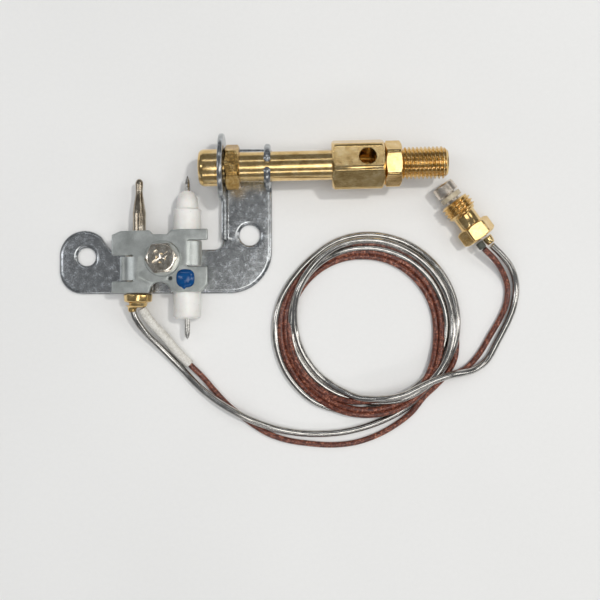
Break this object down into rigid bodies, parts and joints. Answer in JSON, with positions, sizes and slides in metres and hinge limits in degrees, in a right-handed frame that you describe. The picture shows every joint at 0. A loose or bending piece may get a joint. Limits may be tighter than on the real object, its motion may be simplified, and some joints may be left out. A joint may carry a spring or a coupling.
{
  "type": "thermocouple pilot assembly",
  "caption": "Flame-sensing thermocouple and spark electrode clamped on a pressed bracket beside a brass pilot burner, with a coiled twin lead ending in a gland nut.",
  "frame": {"origin": "under the middle of the pilot (bracket, clamped parts and burner, without the leads), on the plane of the bracket underside", "axes": "+X along the burner towards its gas inlet, +Y along the thermocouple and electrode towards their tips, +Z out of the face of the bracket that carries the parts"},
  "size_m": [0.1186, 0.0795, 0.0171],
  "materials": {
    "bracket_zinc": "bright zinc plating, mottled and lightly scuffed",
    "clamp_zinc": "satin zinc plating, slightly green",
    "screw_steel": "bright plated steel with a warm tone",
    "nickel_alloy": "drawn nickel alloy, lightly heat tinted",
    "electrode_steel": "ground heat resistant wire",
    "constantan": "plain alloy wire",
    "ceramic": "white glazed ceramic",
    "brass": "turned brass, semi-bright",
    "tinned_copper": "tinned, bright with soft streaks",
    "glass_fibre": "white braided glass fibre",
    "brown_lacquer": "brown lacquered glass braid",
    "coiled_lead": "coil of the bare and the lacquered wire",
    "rubber": "dark grey sleeve",
    "phenolic": "light brown insulating washer",
    "blue_paint": "wet blue marking paint"
  },
  "bodies": {
    "pilot_frame": {"mounting_bracket": "bracket_zinc", "thermocouple_sheath": "nickel_alloy", "thermocouple_core_wire": "constantan", "thermocouple_insulation": "glass_fibre", "thermocouple_barrel": "nickel_alloy", "thermocouple_ferrule": "brass", "electrode_insulator": "ceramic", "electrode_rod": "electrode_steel", "burner_head": "brass", "flame_port_insert": "brass", "burner_tube": "brass", "burner_lock_nut": "brass", "air_mixer_body": "brass", "gas_inlet_union": "brass", "gas_injector": "brass", "terminal_cup": "tinned_copper", "terminal_insulator": "phenolic", "terminal_contact": "tinned_copper", "lead_end_ferrule": "brass", "lead_end_grommet": "rubber", "insulation_sleeve": "glass_fibre", "lead_bare_tail": "tinned_copper", "lead_insulated_tail": "brown_lacquer", "lead_coil": "coiled_lead", "lead_bare_end": "tinned_copper", "lead_insulated_end": "brown_lacquer"},
    "clamp": {"clamp_plate": "clamp_zinc", "identification_dot": "blue_paint"},
    "clamp_fastener": {"clamp_screw": "screw_steel", "clamp_washer": "clamp_zinc"},
    "gland": {"gland_nut": "brass"}
  },
  "joints": [
    {"name": "clamp_lift", "type": "slide", "parent": "pilot_frame", "child": "clamp", "axis": [0, 0, 1], "range_m": [0, 0.0014]},
    {"name": "clamp_screw_turn", "type": "hinge", "parent": "clamp", "child": "clamp_fastener", "pos_m": [-0.02153, -0.00542, 0.0096], "axis": [0, 0, 1], "range_deg": [0, 720]},
    {"name": "gland_nut_spin", "type": "hinge", "parent": "pilot_frame", "child": "gland", "pos_m": [0.04872, 0.01354, 0.00455], "axis": [0.5948, -0.8039, 0], "continuous": true}
  ],
  "couplings": [
    {"joint": "clamp_screw_turn", "follows": "clamp_lift", "rad_per_m": 8975.9}
  ]
}
